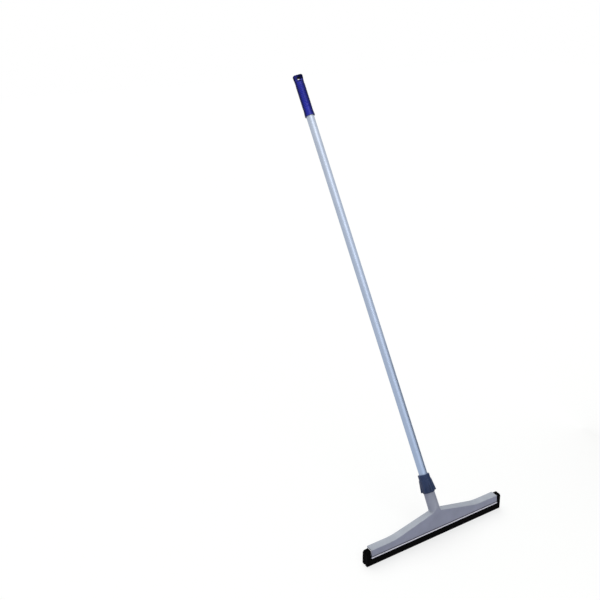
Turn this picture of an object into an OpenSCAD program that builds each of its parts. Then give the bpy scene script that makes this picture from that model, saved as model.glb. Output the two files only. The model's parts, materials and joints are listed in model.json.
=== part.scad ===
// Floor squeegee: a winged plastic head holds a pair of moss-rubber blades in a sliding cassette,
// and a long aluminium handle is clamped in the head's neck by a screwed lock nut.
// Sizes are in millimetres. The blades stand on z = 0, x runs along them, and the handle leans to +y.

/* [Blades] */
// Length of the rubber blades
blade_l = 450; // [360:10:750]
// Thickness of each blade below the cassette
blade_t = 9.5; // [8:0.5:11]
// Width of the slit between the two blades
blade_gap = 2.6; // [1.6:0.2:4]
// Height of the free rubber below the cassette
blade_free_h = 23; // [15:0.5:40]
// Bevel on the edges of each blade's sole
blade_bevel = 1; // [0.4:0.1:2]
// Length of rubber that stands out of the head at each end
blade_overhang = 14; // [6:1:30]

/* [Cassette] */
// Wall of the cassette channel
cassette_wall = 1.4; // [1:0.1:1.8]
// Height of the cassette's outer lip
lip_h = 3.3; // [2.5:0.1:6]
// Thickness of the lip's upturned edge
lip_t = 1; // [0.9:0.1:1.5]
// How far the lip's front leans back at its top
lip_slant = 0.7; // [0.2:0.1:0.8]
// Depth of the gutter behind that edge
lip_gutter = 1.9; // [0.5:0.1:2]
// Depth over both lips, front to back
lip_depth = 25; // [24:0.2:28]
// Open gap between the lip and the head above it
lip_gap = 2.6; // [1:0.1:4]
// Length of cassette that stands out of the head at each end
cassette_proud = 1; // [0.5:0.5:5]
// Height of the guide rail on each side of the cassette
rail_h = 2; // [1.2:0.1:3]
// How far each guide rail stands out
rail_out = 1.2; // [0.8:0.1:1.5]
// Thickness of the spline between the blades
spline_t = 2; // [1.2:0.1:2.4]

/* [Head] */
// Height of the head's face at its ends
arm_h = 18.5; // [16:0.1:30]
// Depth of the head at its lower edge, front to back
head_depth = 24; // [24:0.5:30]
// Slope of the front and rear faces
face_slope = 4; // [3:0.5:7.5]
// Length of the level stretch at each end of the head
arm_level_l = 73; // [40:1:110]
// Rise of the roof from the level stretch to the neck
roof_rise = 30.4; // [28:0.1:50]
// Half width of the roof where it meets the neck
peak_half_w = 17; // [12:1:24]
// Wall of the head's front and rear faces
head_wall = 2.6; // [2.2:0.1:3]
// Thickness of the roof
roof_t = 2.6; // [2.4:0.1:4]
// Thickness of the cross webs under the roof
web_t = 2; // [1.4:0.1:3]
// Spacing of the cross webs
web_pitch = 34; // [24:1:60]

/* [Neck and nut] */
// Lean of the handle from upright
lean = 32.5; // [20:0.5:45]
// How far below the roof's peak the handle's axis crosses the head's mid-plane
neck_sink = 7; // [6:0.5:10]
// Length of the neck from that crossing to the nut
neck_l = 54.5; // [50:0.5:90]
// Outer diameter of the neck at its thread
neck_d = 29.6; // [28.6:0.1:30]
// Outer diameter of the neck at the head
neck_root_d = 31.6; // [30.6:0.2:32]
// Height of the socket's floor above the crossing
socket_floor = 12; // [11:0.5:16]
// Rise of the thread in one turn
thread_lead = 4; // [3.6:0.1:5]
// Height of the thread's ridge
thread_h = 1; // [0.9:0.05:1.1]
// Turns of thread on the neck
thread_turns = 3.75; // [2:0.25:4]
// Plain length of the neck at each end of the thread
thread_run = 3; // [2.5:0.1:4]
// Overall height of the lock nut
nut_h = 48.5; // [47.5:0.5:58]
// Outer diameter of the nut's top collar
nut_top_d = 31.5; // [31:0.1:36]
// Outer diameter of the nut's plain body
nut_body_d = 33.4; // [33:0.2:36]
// Diameter over the ribs where they are widest
nut_rib_d = 41.4; // [38:0.2:48]
// Height of the top collar above the ribs
nut_collar_h = 14; // [8:0.5:16]
// Height of the plain ring below the ribs
nut_ring_h = 2.5; // [2:0.5:8]
// Width of each grip rib
nut_rib_w = 5; // [3:0.5:8]
// Grip ribs around the nut
nut_ribs = 6; // [4:1:8]
// Turn of the ribs about the handle
nut_turned = 27; // [-90:1:90]
// Height of the slanted ledge under the nut's top collar
nut_ledge_h = 0.8; // [0.4:0.1:1.5]
// Bevel on the nut's top edge
nut_bevel = 1.2; // [0.5:0.1:1.5]
// Bevel on the lower corner of each rib
rib_bevel = 1; // [0.4:0.1:2]
// How far each rib still stands out at its upper end
rib_top_out = 0.4; // [0.2:0.1:1]
// Height of the clamp ring
ring_h = 15; // [13:0.5:15.5]
// How far the clamp ring reaches into the neck
ring_sink = 1; // [0.8:0.1:1.2]
// Height of the cone at each end of the clamp ring
ring_cone_h = 3.5; // [3:0.1:4.5]
// Thickness of the clamp ring's lower edge
ring_edge_t = 0.4; // [0.3:0.05:0.5]
// Thickness that the clamp ring's upper edge has more
ring_shoulder = 0.4; // [0.2:0.05:0.6]
// Width of the slit in the clamp ring
ring_slit = 2.5; // [1:0.5:5]

/* [Handle] */
// Outer diameter of the handle tube
tube_d = 23; // [22.6:0.1:23.2]
// Wall of the handle tube
tube_wall = 1.2; // [0.8:0.1:2]
// Length of the handle tube
tube_l = 1225; // [600:1:1600]
// Thickness of the plug's flange under the tube
plug_flange = 2; // [1:0.5:4]
// Length of the plug inside the tube
plug_l = 20; // [10:1:40]

/* [Grip] */
// Length of tube inside the grip
grip_socket = 100; // [80:1:150]
// Solid length of the grip above the tube
grip_cap = 25; // [24:0.5:36]
// Diameter of the grip between its rings
grip_d = 26.4; // [25.2:0.1:30]
// Diameter of the grip's flared lower edge
grip_flare_d = 29; // [26:0.1:33]
// Height of the flared lower edge
grip_flare_h = 3; // [2:0.5:8]
// Bevel on the flared lower edge
grip_flare_bevel = 0.8; // [0.3:0.1:1.5]
// Diameter of the grip's head
grip_head_d = 29.2; // [26:0.1:32]
// Thickness of the grip's head between its two flats
grip_flat_t = 17; // [14:0.5:22]
// Height of each ring on the grip
ring_out = 0.7; // [0.4:0.1:1.2]
// Spacing of the rings on the grip
ring_pitch = 5; // [4:0.5:8]
// Plain length at the lower end of the grip
grip_plain_low = 23; // [14:1:30]
// Plain length at the upper end of the grip
grip_plain_top = 27; // [24:1:36]
// Length over which the grip widens to its head
grip_widen = 22; // [4:0.5:23]
// Rounding of the grip's top edge
grip_round = 2.5; // [1:0.5:4]
// Diameter of the hanging hole
hang_d = 9.5; // [6:0.5:12]
// Distance of the hanging hole below the grip's top
hang_drop = 11; // [9:0.5:11.5]
// Turn of the hanging hole about the handle, from the front
hang_turn = -24; // [-90:1:90]
// Length of the flats below the hanging hole
hang_flat_low = 2; // [0.5:0.5:5]

/* [Clearances] */
// Gap between the sliding cassette and the head
slide_gap = 0.3; // [0.2:0.05:0.4]
// Gap between the rubber or spline and what holds it
held_gap = 0.1; // [0.05:0.05:0.2]
// Gap around the tube in the socket and the nut
socket_gap = 0.15; // [0.1:0.05:0.2]
// Gap between the tube and the piece that grips or plugs it
grip_gap = 0.05; // [0.03:0.01:0.08]
// Gap between the two threads
thread_gap = 0.35; // [0.3:0.05:0.4]
// Gap between the clamp ring and its seats
seat_gap = 0.15; // [0.1:0.05:0.25]
// How far inside the neck's diameter the clamp ring stays
ring_gap = 0.3; // [0.2:0.05:0.4]

/* [Hidden] */
$fn = 96;
rubber_black = "#101012";
cassette_white = "#EDEDF0";
head_grey = "#A3A6B2";
nut_navy = "#2C3A5E";
ring_white = "#DADAD2";
tube_silver = "#C3CAD6";
plug_black = "#26262A";
grip_blue = "#23239A";
cut = 1;

// Heights above the floor, and lengths along x
head_l = blade_l - 2 * blade_overhang;
cassette_l = head_l + 2 * cassette_proud;
lip_z = blade_free_h;
lip_top_z = lip_z + lip_h;
head_z = lip_top_z + lip_gap;
arm_z = head_z + arm_h;
peak_z = arm_z + roof_rise;
ceiling_z = arm_z - roof_t;
cassette_top_z = ceiling_z - slide_gap;
held_top_z = cassette_top_z - cassette_wall - held_gap;
bend_x = head_l / 2 - arm_level_l;
rail_z = (head_z + ceiling_z) / 2;
slope = tan(face_slope);
// Half depths of the head, the cassette and its pocket at a height
function head_half(z) = head_depth / 2 - (z - head_z) * slope;
function hollow_half(z) = head_half(z) - head_wall / cos(face_slope);
function cassette_half(z) = hollow_half(z) - slide_gap;
function pocket_half(z) = cassette_half(z) - cassette_wall / cos(face_slope);

// Distances along the handle's axis, from its crossing with the head's mid-plane
tube_r = tube_d / 2;
bore_r = tube_r + socket_gap;
plug_s = socket_floor + socket_gap;
tube_s = plug_s + plug_flange;
tube_top_s = tube_s + tube_l;
grip_s = tube_top_s - grip_socket;
grip_top_s = tube_top_s + grip_cap;
neck_r = neck_d / 2;
thread_root_r = neck_r - thread_h;
nut_bore_r = neck_r + thread_gap;
nut_top_s = neck_l + nut_h;
rib_low_s = neck_l + nut_ring_h;
collar_s = nut_top_s - nut_collar_h;
thread_s = neck_l + thread_run;
thread_end_s = thread_s + thread_turns * thread_lead;
neck_top_s = thread_end_s + thread_run;
nut_turns = thread_turns - 1;
thread_foot_w = 0.6 * thread_lead;
thread_tip_w = 0.28 * thread_lead;
thread_root_in = 0.4;
ring_s = neck_top_s - ring_sink;
ring_top_s = ring_s + ring_h;
ring_in_r = tube_r + grip_gap;
ring_tip_r = ring_in_r + ring_edge_t;
ring_out_r = neck_r - ring_gap;
shoulder_r = ring_tip_r + ring_shoulder;

// Places its children on the handle's axis, with z along the handle
module on_axis() {
    translate([0, 0, peak_z - neck_sink])
        rotate([-lean, 0, 0])
            children();
}

// Sweeps an outline of [y, z] points along x
module along_x(length) {
    rotate([90, 0, 90])
        linear_extrude(length, center = true)
            children();
}

// Sweeps an outline of [x, z] points along y
module along_y(length) {
    rotate([90, 0, 0])
        linear_extrude(length, center = true)
            children();
}

// Draws its children at the front and, mirrored, at the rear
module both_sides() {
    children();
    mirror([0, 1, 0])
        children();
}

// A ridge wound on a cylinder, which fades in and out at its ends
module thread_ridge(foot_r, tip_r, turns) {
    steps_a_turn = 24;
    fade_steps = 8;
    least = 0.2;
    steps = ceil(steps_a_turn * turns);
    function height(i) = max(least, min(1, i / fade_steps, (steps - i) / fade_steps));
    function corner(i, r, w) =
        let (a = 360 * turns * i / steps)
        [r * cos(a), r * sin(a), thread_s + turns * thread_lead * i / steps + w / 2];
    function tip(i) = foot_r + (tip_r - foot_r) * height(i);
    rings = [
        for (i = [0:steps])
            each [
                corner(i, foot_r, -thread_foot_w), corner(i, tip(i), -thread_tip_w),
                corner(i, tip(i), thread_tip_w), corner(i, foot_r, thread_foot_w)
            ]
    ];
    outward = tip_r > foot_r;
    function turned(f) = outward ? [f[2], f[1], f[0]] : f;
    sides = [
        for (i = [0:steps - 1], k = [0:3])
            let (a = 4 * i + k, b = 4 * i + (k + 1) % 4)
            each [turned([a, a + 4, b + 4]), turned([a, b + 4, b])]
    ];
    last = 4 * steps;
    ends = [
        turned([0, 1, 2]), turned([0, 2, 3]),
        turned([last, last + 2, last + 1]), turned([last, last + 3, last + 2])
    ];
    polyhedron(points = rings, faces = concat(sides, ends));
}

// Outline of the front blade: a free lip with bevelled edges, and a neck squeezed into the cassette
module blade_outline() {
    inner = -blade_gap / 2;
    outer = inner - blade_t;
    held_in = -spline_t / 2 - held_gap;
    top = lip_z - held_gap;
    polygon([
        [inner, blade_bevel],
        [inner - blade_bevel, 0],
        [outer + blade_bevel, 0],
        [outer, blade_bevel],
        [outer, top],
        [-pocket_half(lip_z) + held_gap, top],
        [-pocket_half(held_top_z) + held_gap, held_top_z],
        [held_in, held_top_z],
        [held_in, top],
        [inner, top]
    ]);
}

module front_blade() {
    color(rubber_black)
        along_x(blade_l)
            blade_outline();
}

module rear_blade() {
    color(rubber_black)
        mirror([0, 1, 0])
            along_x(blade_l)
                blade_outline();
}

// Stiff strip that keeps the blades wedged apart, hung from the cassette's top
module blade_spline() {
    color(ring_white)
        translate([-cassette_l / 2, -spline_t / 2, lip_z])
            cube([cassette_l, spline_t, held_top_z - lip_z]);
}

// Outline of the cassette: an upturned channel with lips below and guide rails at its sides
module cassette_outline() {
    inner_top = cassette_top_z - cassette_wall;
    gutter_z = lip_top_z - lip_gutter;
    rail_low = rail_z - rail_h / 2;
    rail_high = rail_z + rail_h / 2;
    rail_y = cassette_half(rail_z) + rail_out;
    front = [
        [pocket_half(inner_top), inner_top],
        [pocket_half(lip_z), lip_z],
        [lip_depth / 2, lip_z],
        [lip_depth / 2, lip_z + lip_slant],
        [lip_depth / 2 - lip_slant, lip_top_z],
        [lip_depth / 2 - lip_t, lip_top_z],
        [cassette_half(gutter_z), gutter_z],
        [cassette_half(rail_low), rail_low],
        [rail_y, rail_low],
        [rail_y, rail_high],
        [cassette_half(rail_high), rail_high],
        [cassette_half(cassette_top_z), cassette_top_z]
    ];
    last = len(front) - 1;
    polygon(concat([for (p = front) [-p[0], p[1]]], [for (i = [last:-1:0]) front[i]]));
}

module blade_cassette() {
    color(cassette_white)
        along_x(cassette_l)
            cassette_outline();
}

// Face of the head seen from the front, from a lower edge up to a roof lowered by some thickness
module head_front(low_z, drop, level_x) {
    polygon([
        [-level_x, low_z],
        [level_x, low_z],
        [level_x, arm_z - drop],
        [bend_x, arm_z - drop],
        [peak_half_w, peak_z - drop],
        [-peak_half_w, peak_z - drop],
        [-bend_x, arm_z - drop],
        [-level_x, arm_z - drop]
    ]);
}

// Head section between the sloped faces less a wall, taken far past the roof
module head_section(low_z, front_wall, rear_wall) {
    high_z = peak_z + cut;
    polygon([
        [-head_half(low_z) + front_wall, low_z],
        [head_half(low_z) - rear_wall, low_z],
        [head_half(high_z) - rear_wall, high_z],
        [-head_half(high_z) + front_wall, high_z]
    ]);
}

// Cross webs under the roof, above the cassette
module cross_webs() {
    webs = floor((bend_x - peak_half_w) / web_pitch);
    for (side = [-1, 1], i = [0:webs])
        translate([side * (peak_half_w + i * web_pitch) - web_t / 2, -head_depth / 2, ceiling_z])
            cube([web_t, head_depth, peak_z - ceiling_z]);
}

// The hollow under the roof, open below and at both ends
module head_hollow() {
    low_z = head_z - cut;
    through = head_l + 2 * cut;
    wall = head_wall / cos(face_slope);
    difference() {
        intersection() {
            along_x(through)
                head_section(low_z, wall, wall);
            along_y(head_depth)
                head_front(low_z, roof_t, through / 2);
        }
        cross_webs();
    }
    both_sides()
        translate([-through / 2, -hollow_half(rail_z) - rail_out, rail_z - rail_h / 2 - slide_gap])
            cube([through, rail_out + head_wall, rail_h + 2 * slide_gap]);
}

// Space behind the plane of the front face, to which the head and its neck are cut back together
module behind_face() {
    low_z = head_z - cut;
    high_z = peak_z + neck_top_s;
    along_x(head_l + 2 * cut)
        polygon([
            [-head_half(low_z), low_z],
            [high_z, low_z],
            [high_z, high_z],
            [-head_half(high_z), high_z]
        ]);
}

// Neck from inside the roof up to its threaded end
module neck() {
    foot_s = -neck_sink;
    on_axis() {
        translate([0, 0, foot_s]) {
            cylinder(h = neck_l - foot_s, d1 = neck_root_d, d2 = neck_d);
            cylinder(h = neck_top_s - foot_s, r = thread_root_r);
        }
        thread_ridge(thread_root_r - thread_root_in, neck_r, thread_turns);
    }
}

// Socket for the tube, with a cone at its mouth that seats the clamp ring
module neck_socket() {
    cone_r = ring_tip_r + seat_gap;
    mouth_s = ring_s - seat_gap;
    spread = (ring_out_r - ring_tip_r) / ring_cone_h;
    translate([0, 0, socket_floor])
        cylinder(h = neck_top_s - socket_floor + cut, r = bore_r);
    translate([0, 0, mouth_s])
        cylinder(h = ring_cone_h, r1 = cone_r, r2 = cone_r + spread * ring_cone_h);
}

module head_frame() {
    color(head_grey)
        difference() {
            intersection() {
                union() {
                    difference() {
                        intersection() {
                            along_x(head_l)
                                head_section(head_z, -head_depth, 0);
                            along_y(4 * head_depth)
                                head_front(head_z, 0, head_l / 2);
                        }
                        head_hollow();
                    }
                    neck();
                }
                behind_face();
            }
            on_axis()
                neck_socket();
        }
}

module clamp_ring() {
    color(ring_white)
        on_axis()
            difference() {
                rotate_extrude()
                    polygon([
                        [ring_in_r, ring_s],
                        [ring_tip_r, ring_s],
                        [ring_out_r, ring_s + ring_cone_h],
                        [ring_out_r, ring_top_s - ring_cone_h],
                        [shoulder_r, ring_top_s],
                        [ring_in_r, ring_top_s]
                    ]);
                translate([0, -ring_slit / 2, ring_s - cut])
                    cube([neck_d, ring_slit, ring_h + 2 * cut]);
            }
}

module lock_nut() {
    ring_seat_r = ring_out_r + seat_gap;
    lip_low_s = neck_top_s + seat_gap;
    lip_rise = 0.3;
    nut_edge = 1;
    rib_root = nut_bore_r + nut_edge;
    color(nut_navy)
        on_axis() {
            difference() {
                union() {
                    rotate_extrude()
                        polygon([
                            [0, neck_l],
                            [nut_bore_r + nut_edge, neck_l],
                            [nut_body_d / 2, rib_low_s],
                            [nut_body_d / 2, collar_s],
                            [nut_top_d / 2, collar_s + nut_ledge_h],
                            [nut_top_d / 2, nut_top_s - nut_bevel],
                            [nut_top_d / 2 - nut_bevel, nut_top_s],
                            [0, nut_top_s]
                        ]);
                    for (i = [0:nut_ribs - 1])
                        rotate([90, 0, nut_turned + 360 * i / nut_ribs])
                            linear_extrude(nut_rib_w, center = true)
                                polygon([
                                    [rib_root, rib_low_s],
                                    [nut_rib_d / 2 - rib_bevel, rib_low_s],
                                    [nut_rib_d / 2, rib_low_s + rib_bevel],
                                    [nut_body_d / 2 + rib_top_out, collar_s - rib_top_out],
                                    [rib_root, collar_s]
                                ]);
                }
                rotate_extrude()
                    polygon([
                        [0, neck_l - cut],
                        [nut_bore_r, neck_l - cut],
                        [nut_bore_r, lip_low_s],
                        [ring_seat_r, lip_low_s + lip_rise],
                        [ring_seat_r, ring_top_s - ring_cone_h],
                        [shoulder_r + seat_gap, ring_top_s + seat_gap],
                        [bore_r + seat_gap, ring_top_s + seat_gap],
                        [bore_r + seat_gap, nut_top_s + cut],
                        [0, nut_top_s + cut]
                    ]);
            }
            rotate([0, 0, 180])
                thread_ridge(nut_bore_r + thread_root_in, thread_root_r + thread_gap, nut_turns);
        }
}

module handle_tube() {
    color(tube_silver)
        on_axis()
            translate([0, 0, tube_s])
                difference() {
                    cylinder(h = tube_l, r = tube_r);
                    translate([0, 0, -cut])
                        cylinder(h = tube_l + 2 * cut, r = tube_r - tube_wall);
                }
}

module tube_plug() {
    color(plug_black)
        on_axis()
            translate([0, 0, plug_s]) {
                cylinder(h = plug_flange, r = tube_r);
                cylinder(h = plug_flange + plug_l, r = tube_r - tube_wall - grip_gap);
            }
}

// Points of a quarter circle, in steps of 15 degrees
function quarter(cx, cy, r) = [for (a = [0:15:90]) [cx + r * cos(a), cy + r * sin(a)]];

// Outline of the grip's outside, with its rings
function grip_outside() =
    let (
        r = grip_d / 2,
        flare_r = grip_flare_d / 2,
        low = grip_s + grip_plain_low,
        high = grip_top_s - grip_plain_top,
        rings = floor((high - low) / ring_pitch),
        flat = ring_pitch / 4
    )
    concat(
        [[flare_r - grip_flare_bevel, grip_s], [flare_r, grip_s + grip_flare_bevel]],
        [[flare_r, grip_s + grip_flare_h], [r, low]],
        [
            for (i = [0:rings - 1])
                let (s = low + i * ring_pitch)
                each [[r, s], [r + ring_out, s + flat], [r + ring_out, s + 2 * flat], [r, s + 3 * flat]]
        ],
        [[r, high], [grip_head_d / 2, high + grip_widen]],
        quarter(grip_head_d / 2 - grip_round, grip_top_s - grip_round, grip_round)
    );

// Waste beside the front flat of the grip's head, which ramps out below the hanging hole
module beside_flat() {
    flat_y = -grip_flat_t / 2;
    far_y = -grip_head_d;
    low = -hang_drop - hang_d / 2 - hang_flat_low;
    along_x(2 * grip_head_d)
        polygon([[flat_y, cut], [flat_y, low], [far_y, low + far_y - flat_y], [far_y, cut]]);
}

module hand_grip() {
    color(grip_blue)
        on_axis()
            difference() {
                rotate_extrude()
                    polygon(concat([[0, grip_s]], grip_outside(), [[0, grip_top_s]]));
                translate([0, 0, grip_s - cut])
                    cylinder(h = grip_socket + cut, r = tube_r + grip_gap);
                translate([0, 0, grip_top_s])
                    rotate([0, 0, hang_turn])
                        both_sides()
                            beside_flat();
                translate([0, 0, grip_top_s - hang_drop])
                    rotate([90, 0, hang_turn])
                        cylinder(h = 2 * grip_head_d, d = hang_d, center = true);
            }
}

front_blade();
rear_blade();
blade_spline();
blade_cassette();
head_frame();
clamp_ring();
lock_nut();
handle_tube();
tube_plug();
hand_grip();
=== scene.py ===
# %% [markdown]
# # A floor squeegee, dressed for its picture
# The construction is already there: a frame of ten solids in metres, standing on the floor at z = 0, with
# the blades along x and the handle leaning towards +y. This lesson gives those solids their moulded edges,
# threads and finishes. The seven pieces that show are built again in mesh code on the frame's own sizes, and
# ride on their bodies. The three hidden ones keep their solids and only get a finish.

# %% Load the frame
import json
import math

import bmesh
import bpy
import numpy as np
from mathutils import Matrix, Vector


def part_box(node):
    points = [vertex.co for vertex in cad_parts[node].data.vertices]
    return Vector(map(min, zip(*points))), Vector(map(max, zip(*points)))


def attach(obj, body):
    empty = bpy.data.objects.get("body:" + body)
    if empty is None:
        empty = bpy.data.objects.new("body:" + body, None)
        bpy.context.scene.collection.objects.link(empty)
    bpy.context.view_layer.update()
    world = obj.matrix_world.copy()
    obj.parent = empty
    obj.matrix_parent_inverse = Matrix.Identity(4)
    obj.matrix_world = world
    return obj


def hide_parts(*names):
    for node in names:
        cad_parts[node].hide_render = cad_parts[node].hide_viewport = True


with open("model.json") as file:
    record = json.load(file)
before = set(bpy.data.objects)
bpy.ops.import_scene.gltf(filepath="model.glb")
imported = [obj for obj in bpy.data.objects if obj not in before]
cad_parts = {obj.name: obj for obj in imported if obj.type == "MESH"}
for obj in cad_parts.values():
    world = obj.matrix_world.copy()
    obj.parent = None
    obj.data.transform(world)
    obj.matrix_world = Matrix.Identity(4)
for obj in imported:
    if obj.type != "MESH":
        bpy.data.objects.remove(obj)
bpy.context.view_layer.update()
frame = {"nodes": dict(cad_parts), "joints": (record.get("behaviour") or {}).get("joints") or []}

MM = 0.001
scene = bpy.context.scene
scene.view_settings.view_transform = "Standard"

# %% [markdown]
# The handle's line carries half of the pieces. The joints give it: the direction of the pull, and one point
# on the nut's axis. Sliding that point back to the head's mid-plane gives the crossing, from which every
# distance up the handle is counted. The matrix turns those handle coordinates (x, y, distance) into the
# frame's.

# %% The handle's line
joints = {joint["name"]: joint for joint in frame["joints"]}
UP_HANDLE = Vector(joints["handle_pull"]["axis"]).normalized()
nut_point = Vector(joints["nut_turn"]["pos_m"])
CROSSING = nut_point - UP_HANDLE * (nut_point.y / UP_HANDLE.y)
SIDE = Vector((1, 0, 0))
BEHIND = UP_HANDLE.cross(SIDE)
HANDLE = Matrix((SIDE, BEHIND, UP_HANDLE)).transposed().to_4x4()
HANDLE.translation = CROSSING


def reach(node):
    """Lowest and highest distance up the handle, and least and greatest radius, of a node, in millimetres."""
    place = np.array([v.co for v in frame["nodes"][node].data.vertices]) - np.array(CROSSING)
    distance = place @ np.array(UP_HANDLE)
    radius = np.linalg.norm(place - np.outer(distance, UP_HANDLE), axis=1)
    return [float(v) / MM for v in (distance.min(), distance.max(), radius.min(), radius.max())]


NUT_LOW, NUT_TOP, _, NUT_RIB_R = reach("lock_nut")
TUBE_LOW, TUBE_TOP, TUBE_IN_R, TUBE_R = reach("handle_tube")
GRIP_LOW, GRIP_TOP, _, GRIP_FLARE_R = reach("hand_grip")
print(f"nut {NUT_LOW:.1f} to {NUT_TOP:.1f}, tube {TUBE_LOW:.1f} to {TUBE_TOP:.1f}, grip to {GRIP_TOP:.1f} mm")

# %% [markdown]
# The camera stands where the photograph's did. Its place was found once by fitting the head's corners, the
# nut and the grip's ends to where they lie in the picture, and is kept here as plain angles and distances.
# The focal length is in pixels of a 600-pixel frame, which a 36 mm sensor turns into a lens.

# %% Camera
FRAME_PX = 600
FOCAL_PX = 731.06
SENSOR_MM = 36.0
FARTHEST_M = 100
TURN_DEG, RAISE_DEG, ROLL_DEG = -29.265, 21.988, 1.597
STEP_RIGHT, STEP_UP, STEP_BACK = -0.3599, 0.6274, 1.9611


def look():
    """The camera's own axes: right, up and back."""
    turn, tip, roll = (math.radians(v) for v in (TURN_DEG, RAISE_DEG, ROLL_DEG))
    back = Vector((math.sin(turn) * math.cos(tip), -math.cos(turn) * math.cos(tip), math.sin(tip)))
    level = Vector((math.cos(turn), math.sin(turn), 0))
    upright = back.cross(level)
    right = level * math.cos(roll) - upright * math.sin(roll)
    up = level * math.sin(roll) + upright * math.cos(roll)
    return right, up, back


right, up, back = look()
lens = bpy.data.cameras.new("photo_camera")
lens.sensor_width = SENSOR_MM
lens.lens = FOCAL_PX * SENSOR_MM / FRAME_PX
lens.clip_end = FARTHEST_M
camera = bpy.data.objects.new("photo_camera", lens)
stand = Matrix((right, up, back)).transposed().to_4x4()
stand.translation = right * STEP_RIGHT + up * STEP_UP + back * STEP_BACK
camera.matrix_world = stand
scene.collection.objects.link(camera)
scene.camera = camera
print("lens", round(lens.lens, 2), "mm, camera at", [round(v, 3) for v in stand.translation])

# %% [markdown]
# Most pieces here are swept or turned: a ring of points moves along a line, and quads join each ring to the
# next. One function makes that skin. With `loop` the last ring meets the first, as on a tube with a bore;
# without it both end rings are filled. Shading is smooth except across sharp edges, and normals are weighted
# by face area, so that wide flat faces stay flat up to their rounded edges. Another function joins two
# pieces, or cuts one out of the other, by a boolean.

# %% Skins made of rings
SHARP_DEG = 38


def dress(piece):
    """Recalculate a piece's normals, and shade it smooth up to its sharp edges."""
    work = bmesh.new()
    work.from_mesh(piece.data)
    bmesh.ops.recalc_face_normals(work, faces=work.faces)
    work.to_mesh(piece.data)
    work.free()
    piece.data.shade_smooth()
    piece.data.set_sharp_from_angle(angle=math.radians(SHARP_DEG))
    if "even_normals" not in piece.modifiers:
        even = piece.modifiers.new("even_normals", "WEIGHTED_NORMAL")
        even.keep_sharp = True
    return piece


def skin(name, rings, loop=False):
    """A piece skinned over rings of points, given in millimetres."""
    rings = np.asarray(rings, float) * MM
    count, size = rings.shape[:2]
    after = np.roll(np.arange(size), -1)
    faces = []
    for i in range(count if loop else count - 1):
        low, high = i * size, (i + 1) % count * size
        faces += [(low + k, low + after[k], high + after[k], high + k) for k in range(size)]
    if not loop:
        faces += [tuple(range(size)), tuple(range((count - 1) * size, count * size))]
    mesh = bpy.data.meshes.new(name)
    mesh.from_pydata(rings.reshape(-1, 3).tolist(), [], faces)
    piece = bpy.data.objects.new(name, mesh)
    scene.collection.objects.link(piece)
    return dress(piece)


print("skins are smooth up to", SHARP_DEG, "degrees")


# %% Booleans
def combine(piece, other, operation):
    """Join another piece to a piece or cut it out, and remove the other."""
    piece.modifiers.clear()
    modifier = piece.modifiers.new("combine", "BOOLEAN")
    modifier.operation = operation
    modifier.object = other
    modifier.solver = "EXACT"
    bpy.context.view_layer.update()
    ready = piece.evaluated_get(bpy.context.evaluated_depsgraph_get())
    whole = bpy.data.meshes.new_from_object(ready)
    piece.modifiers.clear()
    piece.data = whole
    bpy.data.objects.remove(other)
    return dress(piece)


print("booleans use the exact solver")

# %% [markdown]
# A moulded or extruded section is a polygon with rounded corners. Each corner is written as (y, z, radius),
# and an arc of a fixed number of points replaces it, so that every ring of a sweep has the same count. At
# both ends of a sweep the outline shrinks along a quarter circle, which rounds the cut edge.

# %% Rounded outlines
ARC_STEPS = 5
END_STEPS = 4
LEAST_ROUND = 0.05


def rounded(corners):
    """Points of an outline of (y, z, radius) corners, with an arc at each corner."""
    places = [Vector(c[:2]) for c in corners]
    outline = []
    for i, here in enumerate(places):
        to_last = (places[i - 1] - here).normalized()
        to_next = (places[(i + 1) % len(places)] - here).normalized()
        half = to_last.angle(to_next) / 2
        radius = corners[i][2]
        centre = here + (to_last + to_next).normalized() * radius / math.sin(half)
        start = here + to_last * radius / math.tan(half) - centre
        end = here + to_next * radius / math.tan(half) - centre
        bend = math.pi - 2 * half
        for k in range(ARC_STEPS + 1):
            turn = bend * k / ARC_STEPS
            reached = start * math.sin(bend - turn) + end * math.sin(turn)
            outline.append(centre + reached / math.sin(bend))
    return outline


def inset(corners, depth):
    """The same corners, moved inwards from the two sides that meet there."""
    places = [Vector(c[:2]) for c in corners]
    area = sum(a.x * b.y - a.y * b.x for a, b in zip(places, places[1:] + places[:1]))
    inward = math.copysign(1, area)
    moved = []
    for i, here in enumerate(places):
        along = (here - places[i - 1]).normalized()
        onward = (places[(i + 1) % len(places)] - here).normalized()
        n = Vector((-along.y, along.x)) * inward
        m = Vector((-onward.y, onward.x)) * inward
        step = (n + m) / (1 + n.dot(m)) * depth
        moved.append((here.x + step.x, here.y + step.y, max(corners[i][2] - depth, LEAST_ROUND)))
    return moved


def sweep(name, section, stations, end_round):
    """Sweep a section, which is a function of x, through stations, and round off both ends."""
    low, high = stations[0], stations[-1]
    turns = np.linspace(0, math.pi / 2, END_STEPS)
    ends = [(end_round * (1 - math.cos(t)), end_round * (1 - math.sin(t))) for t in turns]
    plan = [(low + along, depth) for along, depth in ends]
    plan += [(x, 0.0) for x in stations if low + end_round < x < high - end_round]
    plan += [(high - along, depth) for along, depth in reversed(ends)]
    rings = [[(x, *p) for p in rounded(inset(section(x), depth))] for x, depth in plan]
    return skin(name, rings)


print("arcs of", ARC_STEPS, "steps")

# %% [markdown]
# The head is one injection-moulded winged frame. Its front and rear faces lean inwards, and the roof is level
# at the ends and climbs to the neck. All its sizes follow from the solid's box and a few lengths that the
# construction uses too, so the two stay alike.

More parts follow.
